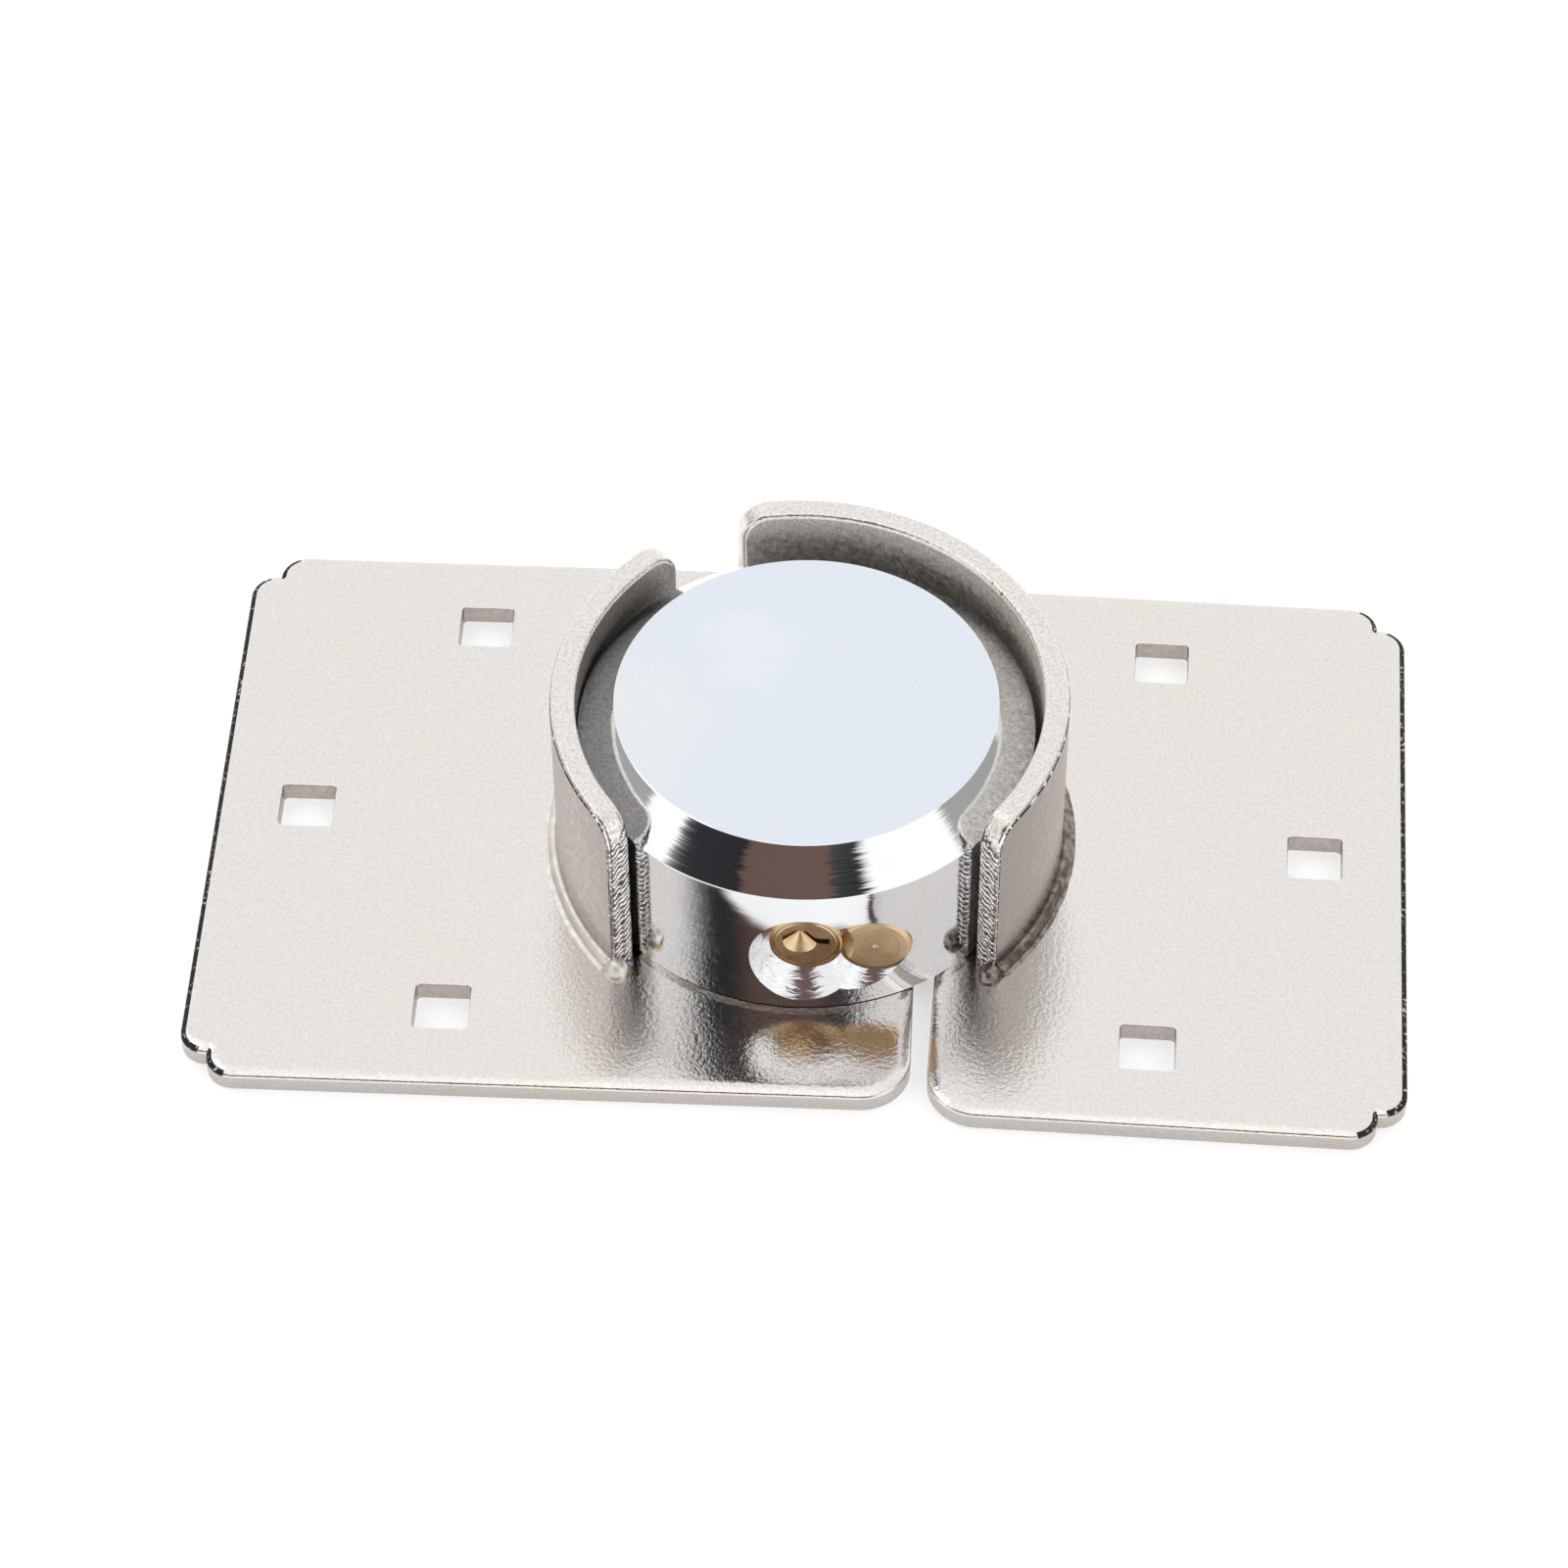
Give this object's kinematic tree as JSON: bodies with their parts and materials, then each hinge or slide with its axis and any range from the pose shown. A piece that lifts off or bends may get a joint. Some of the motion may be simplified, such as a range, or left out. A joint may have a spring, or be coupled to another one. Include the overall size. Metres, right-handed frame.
{
  "type": "hasp with round hidden-bolt padlock",
  "caption": "Two-leaf door hasp with curved guards and a round padlock whose key-released bolt passes through both leaves' eyes.",
  "frame": {"origin": "on the lock's axis, at the underside of the leaves", "axes": "+X along the hasp to the right leaf, +Y to the back, +Z out of the doors; the keyhole faces -Y"},
  "size_m": [0.1961, 0.1174, 0.0375],
  "materials": {
    "satin_nickel": "satin nickel plate over blasted steel",
    "polished_steel": "turned, polished and plated",
    "brass": "turned",
    "bright_steel": "ground",
    "spring_steel": "drawn wire"
  },
  "bodies": {
    "root": {"left_leaf": "satin_nickel", "left_guard": "satin_nickel", "left_weld": "satin_nickel", "left_eye": "satin_nickel", "right_leaf": "satin_nickel", "right_guard": "satin_nickel", "right_weld": "satin_nickel", "right_eye": "satin_nickel", "lock_body": "polished_steel", "cylinder_housing": "brass", "pin_cover": "brass", "driver_pin_1": "brass", "driver_pin_2": "brass", "driver_pin_3": "brass", "driver_pin_4": "brass", "driver_pin_5": "brass", "housing_pin": "bright_steel", "bolt_stop_pin": "bright_steel", "bolt_spring": "spring_steel", "pin_spring_1": "spring_steel", "pin_spring_2": "spring_steel", "pin_spring_3": "spring_steel", "pin_spring_4": "spring_steel", "pin_spring_5": "spring_steel"},
    "plug": {"plug": "brass", "plug_cam": "bright_steel", "cam_screw": "bright_steel", "key_pin_1": "brass", "key_pin_2": "brass", "key_pin_3": "brass", "key_pin_4": "brass", "key_pin_5": "brass"},
    "bolt": {"bolt": "bright_steel", "bolt_head": "brass"}
  },
  "joints": [
    {"name": "plug_turn", "type": "hinge", "parent": "root", "child": "plug", "pos_m": [0.0014, -0.02, 0.016], "axis": [0, 1, 0], "range_deg": [0, 90]},
    {"name": "bolt_slide", "type": "slide", "parent": "root", "child": "bolt", "axis": [0, -1, 0], "range_m": [0, 0.019]}
  ]
}
